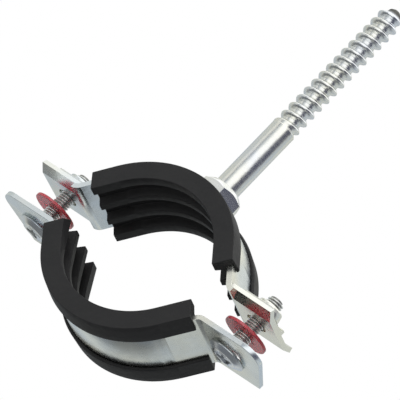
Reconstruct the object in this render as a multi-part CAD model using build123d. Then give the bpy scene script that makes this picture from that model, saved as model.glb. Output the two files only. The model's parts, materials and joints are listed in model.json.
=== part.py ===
from build123d import *
from math import atan2, cos, degrees, radians, sin, sqrt, tan
import os

# Rubber lined pipe clamp on a hanger bolt, in millimetres.
#
# Frame: the pipe runs along Y, the ears point along X, the hanger bolt points up Z.
# The origin is on the pipe's axis, midway across the clamp, as the upper half seats it.
# The lower half is shown slack: carried by its two screws, drawn part of the way in.

os.makedirs("parts", exist_ok=True)

# ---- driving dimensions ------------------------------------------------------------
band_radius = 28.0          # inside radius of the steel strip's arc
arc_half_angle = 50.0       # each half is an arc to this angle off Z, then straight
sheet = 1.5                 # thickness of the strip
band_width = 20.8           # width of the strip
bend_radius = 2.0           # inside radius where the strip turns out into an ear

rubber_under = 3.6          # rubber between the strip and the pipe
rubber_beside = 2.6         # rubber beside the strip's edges
rubber_over = 0.6           # rubber outside the strip, at the side faces
lip_rise = 0.4              # the lips' free edges stand this much further out
lip_width = 6.4             # how far each lip reaches over the strip
lip_corner = 0.4            # chamfers of the lining's edges
rib_depth = 2.3             # valleys between the crests of the lining
crest_width = 2.2
valley_width = 3.7
edge_crest_width = 3.2
strip_gap = 0.05            # air between the strip and the rubber around it
upper_run = (7.6, 6.2)      # straight lining beyond the arc, -X and +X ends, upper half
lower_run = (8.6, 9.2)      # the same, lower half
end_slant = 10.0            # the bent lining's ends lean back by this angle

screw_x = 37.8              # screw axes, from the pipe's axis
ear_under = 7.8             # underside of the upper ears, above the pipe's axis
ear_beyond = 7.5            # ends of the upper ears, beyond the screws
ear_flat = 13.5             # flat middle of an upper ear, between its flared edges
flare_out = 3.3             # how far each edge flares out, and how far it rises
flare_rise = 1.5
flare_start = 2.7           # the edges start to flare inside the bend, by this much

lower_centre = (1.1, 6.8)   # X, Z of the lower half's arc centre as it hangs
lower_roll = 1.6            # the slack lower half hangs this much out of square
lower_tilt = 0.8
lower_ear_drop = 10.9       # underside of the lower ears, below the lower arc's centre
tongue_beyond = 13.7        # furthest point of a lower ear, beyond the screw
tongue_cut_back = 6.5       # how far its far corner is cut back
tongue_corner = 5.0         # radius of its near corner
slot_length = 8.0           # screw slots in the lower ears
slot_width = 6.4

screw_radius = 2.5          # M5
screw_length = 20.3
screw_end = 16.4            # top end of the right screw
left_screw_drop = 1.0       # the left one is wound in a little less
head_radius = 5.8
head_flange = 0.5           # height of the head's flange, and of the whole head
head_height = 1.5
recess_length = 5.6         # cross recess in the head
recess_width = 1.1
recess_depth = 1.0
thread_air = 0.05           # running clearance where a plain shank stands for a thread

washer_radius = 6.9
washer_thickness = 0.9
washer_height = 3.5         # middle of the right retaining washer

nut_plate_width = 12.6
nut_plate_sheet = 1.9
nut_plate_rim = 2.8         # height and thickness of the nut plate's rims
nut_plate_rim_sheet = 1.2
nut_plate_in = 6.1          # its ends, inward and outward of the screw
nut_plate_out = 4.4
collar_radius = 4.2
collar_height = 2.6         # collar above the nut plate

boss_across_flats = 12.6    # hexagon weld nut
boss_height = 5.7           # above the crown of the strip
boss_top_radius = 4.8       # where its crowned top starts
boss_crowning = 1.7
bolt_thread_radius = 3.95   # M8 end in the boss
shank_radius = 3.85
shank_end = 59.5            # where the wood thread starts
wood_root_radius = 2.75
wood_crest_radius = 3.9
wood_pitch = 3.2
wood_foot = 2.2             # width of the wood thread's ridge at its foot
wood_phase = 180.0          # where round the shank the thread starts
bolt_tip = 108.1
tip_length = 3.6
tip_flat_radius = 1.3

# ---- derived -----------------------------------------------------------------------
pipe_radius = band_radius - rubber_under        # seat formed by the lining's crests
band_outer = band_radius + sheet
lining_width = band_width + 2 * rubber_beside
lining_radius = band_outer + rubber_over
lip_radius = lining_radius + lip_rise
ear_reach = screw_x + ear_beyond
ear_top = ear_under + sheet
tongue_reach = screw_x + tongue_beyond
boss_top = band_outer + boss_height
bolt_bottom = band_radius + 2.0


def section_plane(angle):
    """Plane across the strip at a polar angle in XZ: local x is Y, local y is outward."""
    a = radians(angle)
    return Plane(origin=(0, 0, 0), x_dir=(0, 1, 0), z_dir=(sin(a), 0, -cos(a)))


def turned_profile(points):
    """Solid turned about Z from its (radius, height) outline."""
    return revolve(Plane.XZ * make_face(Polyline(*points, close=True)), axis=Axis.Z)


def box(x, y, z):
    """Box from its (low, high) limits on each axis."""
    size = [hi - lo for lo, hi in (x, y, z)]
    middle = [(hi + lo) / 2 for lo, hi in (x, y, z)]
    return Pos(*middle) * Box(*size)


def lining_outline():
    """Rubber channel that grips the strip's edges, ribbed where it meets the pipe."""
    half = lining_width / 2
    edge = half - edge_crest_width
    valley = pipe_radius + rib_depth
    flank = (2 * edge - 2 * crest_width - 3 * valley_width) / 6
    bore = [(-half, pipe_radius)]
    y = -edge
    for rib in range(3):
        bore += [(y, pipe_radius), (y + flank, valley), (y + flank + valley_width, valley)]
        y += 2 * flank + valley_width
        bore += [(y, pipe_radius)]
        y += crest_width
    bore += [(half, pipe_radius)]
    strip_half = band_width / 2 + strip_gap
    lip_edge = half - lip_width
    over = [
        (half, lining_radius), (lip_edge + lip_corner, lip_radius), (lip_edge, lip_radius - lip_corner),
        (lip_edge, band_outer + strip_gap), (strip_half, band_outer + strip_gap),
        (strip_half, band_radius - strip_gap),
    ]
    return bore + over + [(-y, radius) for y, radius in reversed(over)]


def lining(runs):
    """Lining carried round the arc and along both straight runs, its ends leaning in."""
    outline = make_face(Polyline(*lining_outline(), close=True))
    start, end = (section_plane(90 - s * arc_half_angle) * outline for s in (-1, 1))
    body = revolve(start, axis=Axis.Y, revolution_arc=2 * arc_half_angle)
    spare = 2 * rubber_under
    body += extrude(start, amount=-runs[0] - spare)
    body += extrude(end, amount=runs[1] + spare)
    for s, run in zip((-1, 1), runs):
        a = radians(arc_half_angle)
        lean = radians(arc_half_angle - end_slant)
        foot = (s * (band_radius * sin(a) + run * cos(a)), 0, band_radius * cos(a) - run * sin(a))
        end_plane = Plane(origin=foot, x_dir=(0, 1, 0), z_dir=(s * cos(lean), 0, -sin(lean)))
        body = split(body, bisect_by=end_plane, keep=Keep.BOTTOM)
    return body


def strip(reach, ear_middle):
    """Steel strip of constant width: ear, bend, straight, arc, straight, bend, ear."""
    r = band_radius + sheet / 2
    a = radians(arc_half_angle)
    bend = bend_radius + sheet / 2
    setback = bend * tan(a / 2)
    foot = (r * cos(a) - ear_middle) / sin(a)
    corner = r * sin(a) + foot * cos(a)
    run_end = (corner - setback * cos(a), ear_middle + setback * sin(a))

    def side(s):
        arc_end = (s * r * sin(a), 0, r * cos(a))
        foot_top = (s * run_end[0], 0, run_end[1])
        ear_start = (s * (corner + setback), 0, ear_middle)
        out = (s * cos(a), 0, -sin(a))
        return [
            Line(arc_end, foot_top),
            TangentArc(foot_top, ear_start, tangent=out),
            Line(ear_start, (s * reach, 0, ear_middle)),
        ]

    top = ThreePointArc((-r * sin(a), 0, r * cos(a)), (0, 0, r), (r * sin(a), 0, r * cos(a)))
    path = Wire([*side(-1), top, *side(1)])
    start = Plane(origin=(-reach, 0, ear_middle), x_dir=(0, 1, 0), z_dir=(1, 0, 0))
    return sweep(start * Rectangle(band_width, sheet), path=path)


def ear_root(ear_middle):
    """X where the strip's ear leaves its bend."""
    a = radians(arc_half_angle)
    r = band_radius + sheet / 2
    foot = (r * cos(a) - ear_middle) / sin(a)
    return r * sin(a) + foot * cos(a) + (bend_radius + sheet / 2) * tan(a / 2)


def upper_band():
    """Upper strip: its ears' edges are flared up, and it has a hole under the boss."""
    middle = ear_under + sheet / 2
    body = strip(ear_reach, middle)
    half = ear_flat / 2
    root = ear_root(middle)
    flare = degrees(atan2(flare_rise, flare_out))
    wing_width = sqrt(flare_out ** 2 + flare_rise ** 2)
    for s in (-1, 1):
        xs = sorted((s * root, s * (ear_reach + sheet)))
        for edge in ((half, band_width), (-band_width, -half)):
            body -= box(xs, edge, (ear_under - sheet, ear_top + sheet))
        for t in (-1, 1):
            corners = [
                (s * root, 0), (s * ear_reach, 0), (s * ear_reach, t * wing_width),
                (s * (root - flare_start), t * wing_width),
            ]
            wing = extrude(make_face(Polyline(*corners, close=True)), amount=sheet, dir=(0, 0, 1))
            body += Pos(0, t * half, ear_under) * Rot(t * flare, 0, 0) * wing
        body -= Pos(s * screw_x, 0, middle) * Cylinder(screw_radius + 0.8, 3 * sheet)
    body -= Pos(0, 0, band_radius) * Cylinder(bolt_thread_radius + 0.35, 8)
    return body


def tongue_outline(side):
    """Plan of a lower ear: rounded near corner, far corner cut back."""
    half = band_width / 2
    root = side * (screw_x - 11)
    corners = [
        (root, -half), (side * tongue_reach, -half),
        (side * (tongue_reach - tongue_cut_back), half), (root, half),
    ]
    plan = make_face(Polyline(*corners, close=True))
    near = plan.vertices().sort_by(Axis.Y)[:2].sort_by(Axis.X)
    return fillet(near[-1 if side > 0 else 0], tongue_corner)


def lower_band():
    """Lower strip, modelled like an upper half turned over: flat ears with screw slots."""
    middle = lower_ear_drop - sheet / 2
    body = strip(tongue_reach, middle)
    for s in (-1, 1):
        # the outline is drawn for the finished, turned-over part
        blank_x = sorted((s * (screw_x - 5), s * (tongue_reach + 5)))
        blank = box(blank_x, (-band_width, band_width), (middle - sheet, middle + sheet))
        tongue = Pos(0, 0, middle - 2 * sheet) * extrude(tongue_outline(s), amount=4 * sheet)
        body -= blank - tongue
        slot = SlotOverall(slot_length, slot_width)
        body -= Pos(s * screw_x, 0, middle) * extrude(slot, amount=2 * sheet, both=True)
    return body


def hang_lower(shape):
    """Turn a half over and set it where the slack lower half hangs."""
    turned = mirror(shape, about=Plane.XY)
    place = Location((lower_centre[0], 0, lower_centre[1]), (-lower_roll, 0, 0))
    return place * Rot(0, -lower_tilt, 0) * turned


def screw(side, drop):
    """Flanged low-head screw, head down, with a cross recess."""
    top = screw_end - drop
    base = top - screw_length
    foot = base - head_height
    chamfer = 0.5
    body = turned_profile([
        (0, foot), (head_radius - 2.0, foot), (head_radius - 0.9, base - head_flange - 0.4),
        (head_radius, base - head_flange), (head_radius, base), (screw_radius, base),
        (screw_radius, top - chamfer), (screw_radius - chamfer, top), (0, top),
    ])
    for angle in (0, 90):
        body -= Pos(0, 0, foot) * Rot(0, 0, angle) * Box(recess_length, recess_width, 2 * recess_depth)
    return Pos(side * screw_x, 0, 0) * body


def retaining_washer(side, drop):
    """Thin plastic disc pushed on to the thread."""
    z = washer_height - drop - washer_thickness / 2
    disc = Circle(washer_radius) - Circle(screw_radius + thread_air)
    return Pos(side * screw_x, 0, z) * extrude(disc, amount=washer_thickness)


def nut_plate(side):
    """Rimmed plate on the ear, with a plunged collar tapped for the screw."""
    half = nut_plate_width / 2
    rim_inner = half - nut_plate_rim_sheet
    top = ear_top + nut_plate_sheet
    ends = sorted((-side * nut_plate_in, side * nut_plate_out))
    body = box(ends, (-half, half), (ear_top, ear_top + nut_plate_rim))
    body -= box((-2 * half, 2 * half), (-rim_inner, rim_inner), (top, top + nut_plate_rim))
    body += turned_profile([
        (0, top - 0.2), (collar_radius, top - 0.2), (collar_radius, top + 0.9),
        (collar_radius - 0.4, top + collar_height), (0, top + collar_height),
    ])
    body -= Pos(0, 0, ear_top) * Cylinder(screw_radius + thread_air, 30)
    return Pos(side * screw_x, 0, 0) * body


def boss_nut():
    """Hexagon weld nut on the crown of the strip, its top corners turned off."""
    low = band_outer - sheet
    corner = boss_across_flats / sqrt(3)
    body = Pos(0, 0, low) * extrude(RegularPolygon(corner, 6), amount=boss_top - low)
    body &= turned_profile([
        (0, low), (corner + 1, low), (corner + 1, boss_top - boss_crowning - 0.8),
        (corner - 0.5, boss_top - boss_crowning), (boss_top_radius, boss_top), (0, boss_top),
    ])
    body -= Pos(0, 0, band_outer) * Cylinder(bolt_thread_radius + thread_air, 40)
    return body - Rot(90, 0, 0) * Cylinder(band_outer, 2 * band_width)


def wood_thread():
    """One helical ridge with a sharp crest, from the shank to the point."""
    start = shank_end + wood_foot / 2
    end = bolt_tip - wood_pitch / 2
    helix = Pos(0, 0, start) * Helix(pitch=wood_pitch, height=end - start, radius=wood_root_radius)
    sunk = 0.3
    half = wood_foot / 2
    ridge = [(-sunk, -half), (wood_crest_radius - wood_root_radius, 0), (-sunk, half)]
    plane = Plane(origin=helix @ 0, x_dir=(1, 0, 0), z_dir=helix % 0)
    thread = sweep(plane * make_face(Polyline(*ridge, close=True)), path=helix, is_frenet=True)
    return Rot(0, 0, wood_phase) * thread


def hanger_bolt():
    """Threaded end in the boss, plain shank, then a coarse wood thread to a blunt point."""
    neck = 1.6
    groove = 0.6
    core = turned_profile([
        (0, bolt_bottom), (bolt_thread_radius - 0.5, bolt_bottom),
        (bolt_thread_radius, bolt_bottom + 0.5), (bolt_thread_radius, boss_top),
        (shank_radius - 0.3, boss_top + groove / 2), (shank_radius, boss_top + groove),
        (shank_radius, shank_end),
        (wood_root_radius, shank_end + neck), (wood_root_radius, bolt_tip - tip_length),
        (tip_flat_radius, bolt_tip), (0, bolt_tip),
    ])
    return core + wood_thread()


parts = {
    "upper_band": upper_band(),
    "lower_band": hang_lower(lower_band()),
    "upper_lining": lining(upper_run),
    "lower_lining": hang_lower(lining(lower_run)),
    "boss_nut": boss_nut(),
    "hanger_bolt": hanger_bolt(),
    "left_screw": screw(-1, left_screw_drop),
    "right_screw": screw(1, 0.0),
    "left_retaining_washer": retaining_washer(-1, left_screw_drop),
    "right_retaining_washer": retaining_washer(1, 0.0),
    "left_nut_plate": nut_plate(-1),
    "right_nut_plate": nut_plate(1),
}
for name, shape in parts.items():
    export_step(shape, f"parts/{name}.step")
    print(name, round(shape.volume, 1))
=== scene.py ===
# %% [markdown]
# A rubber lined pipe clamp on a hanger bolt. Two zinc plated half rings hang on two small screws,
# and each half carries a ribbed black rubber lining. The solid model fixes every size and place;
# this file gives it its surfaces, plated steel, rubber and red plastic, and the forms too fine for
# the solids: screw threads, slit washers, softened edges and sprung rubber ends.

# %% Load the solid model
import json
from math import cos, floor, radians, sin, tau

import bmesh
import bpy
from mathutils import Matrix, Vector


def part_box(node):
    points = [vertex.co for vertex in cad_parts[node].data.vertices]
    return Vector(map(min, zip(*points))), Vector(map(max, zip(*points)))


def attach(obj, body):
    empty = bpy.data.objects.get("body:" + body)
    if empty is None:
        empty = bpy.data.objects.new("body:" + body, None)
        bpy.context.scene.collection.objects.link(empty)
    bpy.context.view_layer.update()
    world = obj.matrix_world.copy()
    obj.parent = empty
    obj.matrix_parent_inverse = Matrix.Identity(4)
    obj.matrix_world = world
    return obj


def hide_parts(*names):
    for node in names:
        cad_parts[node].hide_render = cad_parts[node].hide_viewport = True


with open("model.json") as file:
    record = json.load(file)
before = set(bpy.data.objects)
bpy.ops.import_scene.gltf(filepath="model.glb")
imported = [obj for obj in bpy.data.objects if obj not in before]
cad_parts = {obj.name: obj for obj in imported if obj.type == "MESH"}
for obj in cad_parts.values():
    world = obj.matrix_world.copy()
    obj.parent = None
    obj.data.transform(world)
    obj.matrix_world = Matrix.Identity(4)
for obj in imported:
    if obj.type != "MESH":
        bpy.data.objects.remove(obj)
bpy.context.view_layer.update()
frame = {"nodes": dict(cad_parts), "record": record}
nodes = frame["nodes"]
MM = 0.001
for name, item in nodes.items():
    print(name, len(item.data.vertices), "vertices")

# %% [markdown]
# Surfaces are worked out as sums on values. A value here is one output of a shader node, and a
# small class lets plus, minus and times build the Math nodes, so a formula reads as a formula.
# Each finish is a material with one Principled shader; its node() method makes any other node.


# %% Shader values that can be added and multiplied
class Value:
    """One node output. Arithmetic on it adds Math nodes to its material."""

    def __init__(self, finish, socket):
        self.finish, self.socket = finish, socket

    def maths(self, operation, *others, swap=False):
        """A Math node on this value and the others; swap puts the others first."""
        pair = [self, *others]
        if swap:
            pair.reverse()
        settings = {"operation": operation}
        return self.finish.node("ShaderNodeMath", settings, dict(enumerate(pair)))

    def __add__(self, other):
        return self.maths("ADD", other)

    def __radd__(self, other):
        return self.maths("ADD", other)

    def __sub__(self, other):
        return self.maths("SUBTRACT", other)

    def __rsub__(self, other):
        return self.maths("SUBTRACT", other, swap=True)

    def __mul__(self, other):
        return self.maths("MULTIPLY", other)

    def __rmul__(self, other):
        return self.maths("MULTIPLY", other)

    def band(self, low, high):
        """0 below low, 1 above high, smooth between."""
        settings = {"interpolation_type": "SMOOTHSTEP"}
        return self.finish.node("ShaderNodeMapRange", settings, {0: self, 1: low, 2: high})


class Finish:
    """A material with one Principled shader, filled in through node()."""

    def __init__(self, name, **plain):
        self.material = bpy.data.materials.new(name)
        self.material.use_nodes = True
        self.tree = self.material.node_tree
        self.shader = self.tree.nodes["Principled BSDF"]
        for socket, value in plain.items():
            self.shader.inputs[socket.replace("_", " ")].default_value = value
        self.place = self.node("ShaderNodeTexCoord", {}, {}, "Object")

    def node(self, kind, settings, inputs, output=0):
        """Any node: its type, its settings, values or links for its inputs, and the output kept."""
        made = self.tree.nodes.new(kind)
        for key, value in settings.items():
            setattr(made, key, value)
        for key, value in inputs.items():
            if isinstance(value, Value):
                self.tree.links.new(value.socket, made.inputs[key])
            else:
                made.inputs[key].default_value = value
        return Value(self, made.outputs[output])

    def feed(self, **sockets):
        """Link values to the Principled shader's own sockets."""
        for socket, value in sockets.items():
            self.tree.links.new(value.socket, self.shader.inputs[socket.replace("_", " ")])

    def vector(self, operation, first, second=None, output=0):
        """A Vector Math node on one or two vectors."""
        inputs = {0: first} if second is None else {0: first, 1: second}
        return self.node("ShaderNodeVectorMath", {"operation": operation}, inputs, output)

    def part_of(self, axis):
        """How far along X, Y or Z a point of the surface lies, in metres."""
        return self.node("ShaderNodeSeparateXYZ", {}, {0: self.place}, axis)

    def stretched(self, x, y, z):
        return self.vector("MULTIPLY", self.place, (x, y, z))

    def noise(self, scale, detail=3.0, place=None):
        """Clouds of about 1/scale metres; detail counts the finer layers laid over them."""
        inputs = {"Vector": place or self.place, "Scale": scale, "Detail": detail}
        return self.node("ShaderNodeTexNoise", {}, inputs)

    def mix(self, share, first, second):
        settings = {"data_type": "RGBA"}
        return self.node("ShaderNodeMix", settings, {0: share, 6: first, 7: second}, 2)

    def bump(self, height, distance):
        return self.node("ShaderNodeBump", {}, {"Height": height, "Distance": distance})


# %% [markdown]
# Bright zinc plate on pressed strip is a thin mirror with a faint straw and blue tint that drifts
# from place to place. An image of plated steel could be wrapped on, but noise in the object's own
# space needs no unwrapping and runs on round the bends. Four sizes of noise are used: the slow
# drift of the tint, the dimples of pressing, the scuffs of handling, and the fine lines left by
# the mill's rolls, which are noise squeezed across the strip.


# %% Zinc on the pressed strip
def zinc_on_strip():
    f = Finish("zinc_sheet", Metallic=1.0)
    drift = f.noise(45.0, 2.0)
    blue_zinc, straw_zinc = (0.80, 0.86, 0.90, 1), (0.92, 0.92, 0.84, 1)
    tint = f.mix(drift.band(0.38, 0.62), blue_zinc, straw_zinc)
    rolled = f.noise(700.0, 2.0, f.stretched(1.0, 0.1, 1.0))
    dimples = f.noise(170.0, 2.0)
    scuffs = f.noise(520.0, 4.0)
    f.feed(Base_Color=tint, Roughness=0.14 + dimples * 0.16 + scuffs * 0.1)
    f.feed(Normal=f.bump(dimples + rolled * 0.03 + scuffs * 0.006, 0.00012))
    return f.material


# %% [markdown]
# The screws, the nut and the bolt are rolled and turned bar, plated in a barrel. They are brighter
# than the strip, and their fine marks run round them, so the noise is squeezed along the axis. The
# bolt's point is where it was sheared from the bar, and it is dull. That could be a material of its
# own, but a mask by height blends into the plating and needs no second slot.


# %% Zinc on screws and bolt
def zinc_on_hardware(dull_above):
    """Bright zinc, and the dull sheared end of the bolt above a height."""
    f = Finish("zinc_hardware", Metallic=1.0)
    drift = f.noise(60.0, 2.0)
    blue_zinc, straw_zinc = (0.84, 0.87, 0.92, 1), (0.92, 0.92, 0.86, 1)
    plated = f.mix(drift.band(0.38, 0.62), blue_zinc, straw_zinc)
    sheared = (f.part_of("Z") * (1 / MM)).band(dull_above / MM, dull_above / MM + 1.4)
    tint = f.mix(sheared, plated, (0.16, 0.16, 0.15, 1))
    turned_lines = f.noise(420.0, 2.0, f.stretched(0.3, 0.3, 3.0))
    dents = f.noise(260.0, 2.0)
    f.feed(Base_Color=tint, Roughness=0.16 + turned_lines * 0.2 + sheared * 0.3)
    f.feed(Normal=f.bump(turned_lines * 0.35 + dents, 0.00014))
    return f.material


# %% [markdown]
# In the fine threads of the ear screws the plating is dull, and a painted shade darkens the roots.
# The distance from the screw's axis tells root from crest, so one sum of squares does what a painted
# mask would.


# %% Zinc in a fine thread
def zinc_in_thread(axis_x, root, crest):
    """Zinc for both ear screws, whose axes stand axis_x to the left and right of the bolt."""
    f = Finish("zinc_thread_painted_root_shade", Metallic=1.0)
    x, y = f.part_of("X"), f.part_of("Y")
    off = x.maths("ABSOLUTE") - axis_x
    square_mm = (off * off + y * y) * (1 / MM ** 2)
    on_crest = square_mm.band((root / MM) ** 2, (crest / MM) ** 2)
    # painted shade: the thread roots are coloured dark grey and the crests bright zinc
    tint = f.mix(on_crest, (0.42, 0.42, 0.40, 1), (0.90, 0.91, 0.90, 1))
    cloud = f.noise(420.0, 2.0)
    f.feed(Base_Color=tint, Roughness=0.4 - on_crest * 0.2 + cloud * 0.1)
    return f.material


# %% [markdown]
# The lining is extruded rubber: matt and nearly black, a little greyer where chalk stays on it, with
# soft waves and a fine grain. Black paint on a glossy surface would look like plastic, so the gloss
# is kept low and broad, and a bump breaks up its edge.


# %% Rubber
def rubber():
    f = Finish("lining_rubber", Specular_IOR_Level=0.28)
    cloud = f.noise(70.0, 3.0)
    waves = f.noise(190.0, 2.0)
    grain = f.noise(2600.0, 2.0)
    shade = f.mix(cloud, (0.010, 0.010, 0.011, 1), (0.019, 0.019, 0.019, 1))
    f.feed(Base_Color=shade, Roughness=0.5 + cloud * 0.16)
    f.feed(Normal=f.bump(waves + grain * 0.08, 0.0003))
    return f.material


# %% [markdown]
# The discs that keep the screws in their ears are stamped from clear red plastic sheet. Glass would
# be too clear and paint too flat, so a part of the light passes through, which makes the near side
# glow where there is white behind it.


# %% Red plastic
def red_plastic():
    f = Finish("red_plastic", Transmission_Weight=0.45, IOR=1.46)
    cloud = f.noise(220.0, 2.0)
    shade = f.mix(cloud, (0.56, 0.04, 0.06, 1), (0.78, 0.14, 0.17, 1))
    f.feed(Base_Color=shade, Roughness=0.16 + cloud * 0.15)
    return f.material


# %% [markdown]
# The finishes are made once and shared. Each solid names its material in the part's record, so a
# loop over the record dresses them all, and nothing has to be picked by hand.

# %% Give the solids their finishes
bolt_low, bolt_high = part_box("hanger_bolt")
bolt_bottom, bolt_tip = bolt_low[2], bolt_high[2]
dull_length = 2.6 * MM
finishes = {
    "zinc_sheet": zinc_on_strip(),
    "zinc_hardware": zinc_on_hardware(bolt_tip - dull_length),
    "lining_rubber": rubber(),
    "red_plastic": red_plastic(),
}
screw_x = sum(corner[0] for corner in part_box("right_screw")) / 2
screw_root, screw_crest = 1.9 * MM, 2.49 * MM
thread_finish = zinc_in_thread(screw_x, screw_root, screw_crest)
for entry in frame["record"]["subparts"]:
    data = nodes[entry["node"]].data
    data.materials.clear()
    data.materials.append(finishes[entry["material_slot"]])

# %% [markdown]
# Real pressed steel and rubber have no knife edges. Rounding every edge in the solids would slow
# them down, so modifiers do it here: the imported faces are welded together, and a narrow bevel runs
# along each edge that is sharper than an angle. The upper band has very short edges where its ears
# flare, which would hold the bevel back, so it is welded more coarsely.


# %% Soften the edges
def soften(item, width, joined_within=0.01):
    """Weld points nearer than joined_within, then round the edges to a width; both in mm."""
    weld = item.modifiers.new("weld", "WELD")
    weld.merge_threshold = joined_within * MM
    bevel = item.modifiers.new("soft edges", "BEVEL")
    bevel.width, bevel.segments = width * MM, 2
    bevel.limit_method, bevel.angle_limit = "ANGLE", radians(32)
    bevel.harden_normals = True


sheet_edge, nut_edge, plate_edge, rubber_edge = 0.16, 0.2, 0.18, 0.3
soften(nodes["lower_band"], sheet_edge)
soften(nodes["boss_nut"], nut_edge)
soften(nodes["left_nut_plate"], plate_edge)
soften(nodes["right_nut_plate"], plate_edge)
soften(nodes["upper_band"], sheet_edge, joined_within=0.12)
print("softened", [name for name, item in nodes.items() if item.modifiers])

# %% [markdown]
# The linings are pushed over the strip by hand, and their cut ends spring away from it a little.
# A lattice could bend them, but here each point of a copy moves by its own small step: the inner
# ribs stand further out at the left ends, and the step fades to nothing towards the strip, towards
# the near face and along the arc. Inward is the way from the strip's flank to the pipe.


# %% Linings with sprung ends
def ramp(value, low, high):
    """0 at low, 1 at high, smooth between; low may be the larger."""
    share = min(1.0, max(0.0, (value - low) / (high - low)))
    return share * share * (3 - 2 * share)


def lower_spring(x, y, z):
    """Step in mm of a point of the lower lining, from its place in mm."""
    inward = 0.77 * x + 0.64 * z
    share = ramp(z, -12, -3) * ramp(inward, -22.5, -21.5) * ramp(y, -12.5, -9.5)
    return Vector((0.6 * ramp(y, -4, 10), 0, 2.0)) * share


def upper_spring(x, y, z):
    """The same for the upper lining, at its left end's far side."""
    inward = 0.77 * x - 0.64 * z
    share = ramp(z, 20, 12) * ramp(inward, -28, -27) * ramp(y, 0, 8)
    return Vector((-0.4, 0, -0.3)) * share


def sprung_lining(half, spring):
    """Copy of a lining with its left end moved, in the solid's place."""
    name = half + "_lining"
    mesh = nodes[name].data.copy()
    mesh.name = name + "_sprung"
    for point in mesh.vertices:
        if point.co.x < 0:
            point.co += spring(*(point.co / MM)) * MM
    item = bpy.data.objects.new(mesh.name, mesh)
    bpy.context.collection.objects.link(item)
    soften(item, rubber_edge)
    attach(item, half + "_half")
    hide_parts(name)
    print(mesh.name, len(mesh.vertices), "vertices")


sprung_lining("lower", lower_spring)
sprung_lining("upper", upper_spring)

# %% [markdown]
# A screw is a lathe form whose radius also changes round the axis. A curve could be swept along a
# helix, but a grid of heights and angles makes the core, the ridge and its run-out as one closed
# skin. The ridge is where the height, less the rise of one turn, falls near a crest.


# %% A turned form with a thread
def thread_share(height, angle, pitch, start, foot):
    """1 on the thread's crest, 0 in its valley; foot is the ridge's share of one pitch."""
    turn = (height - start) / pitch - angle / tau
    off = abs(turn - floor(turn) - 0.5) * 2
    return max(0.0, 1 - (off / foot) ** 1.7)


def turned(name, heights, radius_at, steps=72):
    """Closed skin of rings about Z, each point at radius_at(height, angle)."""
    mesh = bpy.data.meshes.new(name)
    build = bmesh.new()
    angles = [tau * i / steps for i in range(steps)]
    rings = []
    for height in heights:
        radii = [radius_at(height, angle) for angle in angles]
        places = [(r * cos(angle), r * sin(angle), height) for r, angle in zip(radii, angles)]
        rings.append([build.verts.new(place) for place in places])
    for low, high in zip(rings, rings[1:]):
        for i in range(steps):
            build.faces.new((low[i - 1], low[i], high[i], high[i - 1]))
    build.faces.new(list(reversed(rings[0])))
    build.faces.new(rings[-1])
    build.to_mesh(mesh)
    build.free()
    mesh.shade_smooth()
    item = bpy.data.objects.new(name, mesh)
    bpy.context.collection.objects.link(item)
    print(name, len(mesh.vertices), "vertices")
    return item


def steps_between(low, high, step):
    """Heights from low to high, near to a step apart."""
    count = round((high - low) / step)
    return [low + (high - low) * i / count for i in range(count + 1)]


def along(stations, height):
    """Radius on a straight-sided outline of (height, radius) stations."""
    for (z0, r0), (z1, r1) in zip(stations, stations[1:]):
        if height <= z1:
            return r0 + (r1 - r0) * (height - z0) / (z1 - z0) if z1 > z0 else r1
    return stations[-1][1]


# %% [markdown]
# The hanger bolt is one rolled bar: a machine end hidden in the boss, a plain shank, and a wood
# thread with fat rounded ridges. It replaces the plainer solid bolt and keeps its sizes. Two
# outlines are drawn, one through the valleys and one over the crests, and the thread's share of the
# way between them gives each point its radius. Where the crest line is the lower one, it is plain.

# %% Hanger bolt
boss_top = 35.2 * MM
shank_foot = 36.0 * MM
thread_start = 59.5 * MM
machine_radius, shank_radius = 3.95 * MM, 3.85 * MM
wood_root, wood_crest = 2.7 * MM, 3.95 * MM
wood_pitch = 3.2 * MM
ridge_foot = 0.74
run_in = thread_start - wood_pitch
core_line = [
    (bolt_bottom, 3.45 * MM),
    (bolt_bottom + 0.5 * MM, machine_radius),
    (boss_top, machine_radius),
    (boss_top + 0.01 * MM, 3.6 * MM),
    (boss_top + 0.6 * MM, shank_radius),
    (thread_start - 0.3 * MM, shank_radius),
    (thread_start + 1.1 * MM, wood_root),
    (bolt_tip - 3.0 * MM, wood_root),
    (bolt_tip - 0.6 * MM, 1.9 * MM),
    (bolt_tip, 1.2 * MM),
]
crest_line = [
    (bolt_bottom, 0.0),
    (run_in, 0.0),
    (thread_start - 0.4 * MM, wood_crest),
    (bolt_tip - 3.4 * MM, wood_crest),
    (bolt_tip - 0.5 * MM, 1.9 * MM),
    (bolt_tip, 1.0 * MM),
]


def bolt_radius(height, angle):
    core, crest = along(core_line, height), along(crest_line, height)
    share = thread_share(height, angle, wood_pitch, thread_start, ridge_foot)
    return core + max(0.0, crest - core) * share


bolt_rows = steps_between(bolt_bottom, shank_foot, 0.5 * MM)[:-1]
bolt_rows += steps_between(shank_foot, run_in, 1.0 * MM)[:-1]
bolt_rows += steps_between(run_in, bolt_tip, 0.11 * MM)
bolt = turned("hanger_bolt_rolled", bolt_rows, bolt_radius)
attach(bolt, "hanger_bolt_body")
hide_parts("hanger_bolt")
bolt.data.materials.append(finishes["zinc_hardware"])

# %% [markdown]
# Each ear screw keeps the head of its solid, cut off just above the head, and gets a real machine
# thread of 0.8 mm pitch for a shank. A head could be turned anew as well, but cutting a copy keeps
# the cross recess as it was made. The thread reaches a little way into the head, so no gap shows.

# %% Ear screws
head_height = 1.5 * MM
screw_pitch = 0.8 * MM
screw_ridge_foot = 0.75
end_root, end_crest = screw_root - 0.5 * MM, screw_crest - 0.7 * MM


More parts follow.
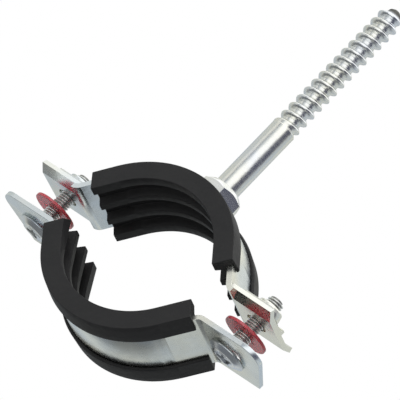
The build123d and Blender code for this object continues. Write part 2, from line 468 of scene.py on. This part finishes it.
def screw_head(name, cut_height):
    """Copy of a solid screw's mesh, kept below cut_height."""
    build = bmesh.new()
    build.from_mesh(nodes[name].data)
    bmesh.ops.remove_doubles(build, verts=build.verts[:], dist=0.002 * MM)
    parts = build.verts[:] + build.edges[:] + build.faces[:]
    cut = {"plane_co": (0, 0, cut_height), "plane_no": (0, 0, 1), "clear_outer": True}
    bmesh.ops.bisect_plane(build, geom=parts, **cut)
    bmesh.ops.holes_fill(build, edges=[edge for edge in build.edges if edge.is_boundary])
    mesh = bpy.data.meshes.new(name + "_head")
    build.to_mesh(mesh)
    build.free()
    mesh.shade_smooth()
    mesh.set_sharp_from_angle(angle=radians(30))
    item = bpy.data.objects.new(name + "_head", mesh)
    bpy.context.collection.objects.link(item)
    return item


def threaded_screw(side):
    """A threaded shank with a chamfered end, and its head, in the solid screw's place."""
    name = side + "_screw"
    low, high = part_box(name)
    centre = (low[0] + high[0]) / 2
    base, end = low[2] + head_height, high[2]

    def radius(height, angle):
        root = min(screw_root, end_root + (end - height))
        crest = min(screw_crest, end_crest + (end - height))
        share = thread_share(height, angle, screw_pitch, base, screw_ridge_foot)
        return root + (crest - root) * share

    heights = steps_between(base - 0.2 * MM, end, 0.08 * MM)
    shank = turned(side + "_screw_thread", heights, radius, steps=48)
    shank.data.transform(Matrix.Translation((centre, 0, 0)))
    shank.data.materials.append(thread_finish)
    head = screw_head(name, base + 0.02 * MM)
    head.data.materials.append(finishes["zinc_hardware"])
    for piece in (shank, head):
        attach(piece, side + "_screw_body")
        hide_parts(name)
    print(head.name, len(head.data.vertices), "vertices")


for side in ("left", "right"):
    threaded_screw(side)

# %% [markdown]
# The retaining washers are thin discs whose hole has short slits, so that the tongues between them
# snap over the thread. Slits could be cut with a boolean, but four rings of points, under and over,
# round the hole and round the rim, give a clean skin at once. A bevel rounds its edges.

# %% Retaining washers
washer_outer = 6.9 * MM
tongue_radius, slit_radius = 2.55 * MM, 3.5 * MM
slits = 6
slit_share = 0.24
washer_edge = 0.18 * MM
washer_steps = 96


def washer_hole(angle):
    """Radius of the hole at an angle: deeper within each slit's share of the turn."""
    off = abs(angle * slits / tau % 1 - 0.5)
    return slit_radius if off < slit_share / 2 else tongue_radius


def washer(side):
    """A slit disc in the solid washer's place."""
    name = side + "_retaining_washer"
    low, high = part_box(name)
    centre = ((low[0] + high[0]) / 2, (low[1] + high[1]) / 2)
    build = bmesh.new()
    angles = [tau * i / washer_steps for i in range(washer_steps)]
    rings = []
    for height in (low[2], high[2]):
        for hole in (True, False):
            ring = []
            for angle in angles:
                r = washer_hole(angle) if hole else washer_outer
                place = (centre[0] + r * cos(angle), centre[1] + r * sin(angle), height)
                ring.append(build.verts.new(place))
            rings.append(ring)
    under_in, under_out, over_in, over_out = rings
    for i in range(washer_steps):
        build.faces.new((under_in[i], under_out[i], under_out[i - 1], under_in[i - 1]))
        build.faces.new((over_in[i - 1], over_out[i - 1], over_out[i], over_in[i]))
        build.faces.new((under_out[i - 1], under_out[i], over_out[i], over_out[i - 1]))
        build.faces.new((under_in[i], under_in[i - 1], over_in[i - 1], over_in[i]))
    mesh = bpy.data.meshes.new(side + "_washer_slit")
    build.to_mesh(mesh)
    build.free()
    item = bpy.data.objects.new(side + "_washer_slit", mesh)
    bpy.context.collection.objects.link(item)
    edge = item.modifiers.new("soft edges", "BEVEL")
    edge.width, edge.segments = washer_edge, 2
    edge.limit_method, edge.angle_limit = "ANGLE", radians(50)
    mesh.materials.append(finishes["red_plastic"])
    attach(item, side + "_screw_body")
    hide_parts(name)
    print(item.name, len(mesh.vertices), "vertices")


for side in ("left", "right"):
    washer(side)

# %% [markdown]
# The clamp is a thing that hangs, so its floor lies well below it, and the room is pale and soft.
# A floor close under it would throw grey up into every bright face.

# %% Floor
floor_depth, floor_width = 0.85, 6
bpy.context.scene.view_settings.view_transform = "Standard"
bpy.ops.mesh.primitive_plane_add(size=floor_width, location=(0, 0, -floor_depth))
ground = bpy.context.object
ground.name = "floor"
ground.visible_glossy = False
pale = {"Base_Color": (0.86, 0.86, 0.86, 1), "Roughness": 0.9, "Emission_Strength": 0.4}
paint = Finish("pale_floor", **pale)
paint.shader.inputs["Emission Color"].default_value = (1, 1, 1, 1)
ground.data.materials.append(paint.material)
print("floor", floor_depth, "m below the pipe's axis")

# %% [markdown]
# Bright metal in an all-white room would look like paper. In a studio, grey and black cards stand
# round plated goods. They could be planes here too, but one dome holds them all as soft bands of
# brightness. It is seen only in gloss, and a second, plain white dome is what the eye sees behind
# the object, so the cards never darken the picture.

# %% Domes
dome_radius = 3.2
glow_only = {
    "Base_Color": (0, 0, 0, 1),
    "Roughness": 1.0,
    "Specular_IOR_Level": 0.0,
    "Emission_Strength": 1.0,
}


def dome(name, seen_by):
    """A large sphere round everything, shown only to the named kinds of ray."""
    bpy.ops.mesh.primitive_uv_sphere_add(segments=48, ring_count=24, radius=dome_radius)
    item = bpy.context.object
    item.name = name
    for kind in ("camera", "diffuse", "glossy", "transmission", "volume_scatter", "shadow"):
        setattr(item, "visible_" + kind, kind in seen_by)
    glow = Finish(name, **glow_only)
    item.data.materials.append(glow.material)
    return glow


def side_card(glow, azimuth, half_width, soft):
    """1 on an upright strip of the dome round an azimuth, 0 elsewhere; all in degrees."""
    flat = glow.stretched(1, 1, 0)
    level = glow.vector("NORMALIZE", flat)
    aim = (cos(radians(azimuth)), sin(radians(azimuth)), 0)
    towards = glow.vector("DOT_PRODUCT", level, aim, output="Value")
    return towards.band(cos(radians(half_width + soft)), cos(radians(half_width)))


white_dome = dome("white_dome", ("camera", "transmission"))
white_dome.shader.inputs["Emission Color"].default_value = (1, 1, 1, 1)

cards = dome("card_dome", ("glossy",))
height = cards.part_of("Z")
drift = cards.noise(0.7, 1.0)
cool_wall, warm_wall = (0.45, 0.50, 0.55, 1), (0.66, 0.66, 0.60, 1)
shade = cards.mix(drift.band(0.4, 0.6), cool_wall, warm_wall)
upright_cards = [
    # azimuth, half width and soft edge in degrees, then the card's colour
    (-62, 14, 26, (1.15, 1.15, 1.15, 1)),
    (-128, 6, 8, (0.8, 0.8, 0.78, 1)),
    (-113.5, 2, 4, (0.3, 0.3, 0.32, 1)),
    (-8, 14, 20, (0.09, 0.095, 0.13, 1)),
]
for azimuth, half_width, soft, colour in upright_cards:
    shade = cards.mix(side_card(cards, azimuth, half_width, soft), shade, colour)
bright_ceiling, dark_ground = (1.2, 1.2, 1.2, 1), (0.16, 0.17, 0.18, 1)
shade = cards.mix(height.band(1.9, 2.5), shade, bright_ceiling)
shade = cards.mix(height.band(-1.5, -2.4), shade, dark_ground)
cards.feed(Emission_Color=shade)
print(len(upright_cards), "upright cards on the dome")

# %% [markdown]
# Rubber and plastic need light that falls on them as well as a room to mirror. A dim even world
# fills the shadows, and two broad panels, above and in front, shape the black rubber. A lamp's
# bright square would show in the metal, so the panels are hidden from gloss.

# %% Room light and panels
fill_strength = 0.22
panel_size, panel_power = 0.6, 7
clamp_middle = (0, 0, 0.02)
world = bpy.data.worlds.new("pale_room")
bpy.context.scene.world = world
world.use_nodes = True
background = world.node_tree.nodes["Background"]
background.inputs["Color"].default_value = (1, 1, 1, 1)
background.inputs["Strength"].default_value = fill_strength


def panel(name, place):
    """One soft square light at a place, turned to face the clamp."""
    lamp = bpy.data.lights.new(name, "AREA")
    lamp.size, lamp.energy = panel_size, panel_power
    item = bpy.data.objects.new(name, lamp)
    item.location = place
    facing = (Vector(clamp_middle) - Vector(place)).to_track_quat("-Z", "Y")
    item.rotation_euler = facing.to_euler()
    item.visible_glossy = False
    bpy.context.collection.objects.link(item)
    print(name, "panel at", place)


panel("overhead", (-0.1, -0.2, 0.8))
panel("front", (-0.2, -1.0, 0.35))

# %% [markdown]
# The camera stands a little below the clamp, to the right of its near face, and is rolled over so
# that the hanger bolt runs up to the right corner of the picture. It could be aimed with a
# constraint, but its turn is worked out here, as the roll has to be added to it.

# %% Camera
camera_place = Vector((0.4252, -0.5807, -0.1770))
look_at = Vector((0.00179, -0.00780, 0.02579))
camera_roll = radians(44.05)
camera_lens = 244.2

camera_data = bpy.data.cameras.new("camera")
camera_data.sensor_width = 36.0
camera_data.lens = camera_lens
camera = bpy.data.objects.new("camera", camera_data)
camera.rotation_mode = "QUATERNION"
camera.location = camera_place
level = (look_at - camera_place).to_track_quat("-Z", "Y")
camera.rotation_quaternion = level @ Matrix.Rotation(camera_roll, 3, "Z").to_quaternion()
bpy.context.collection.objects.link(camera)
bpy.context.scene.camera = camera
print("camera", round((look_at - camera_place).length, 4), "m away")
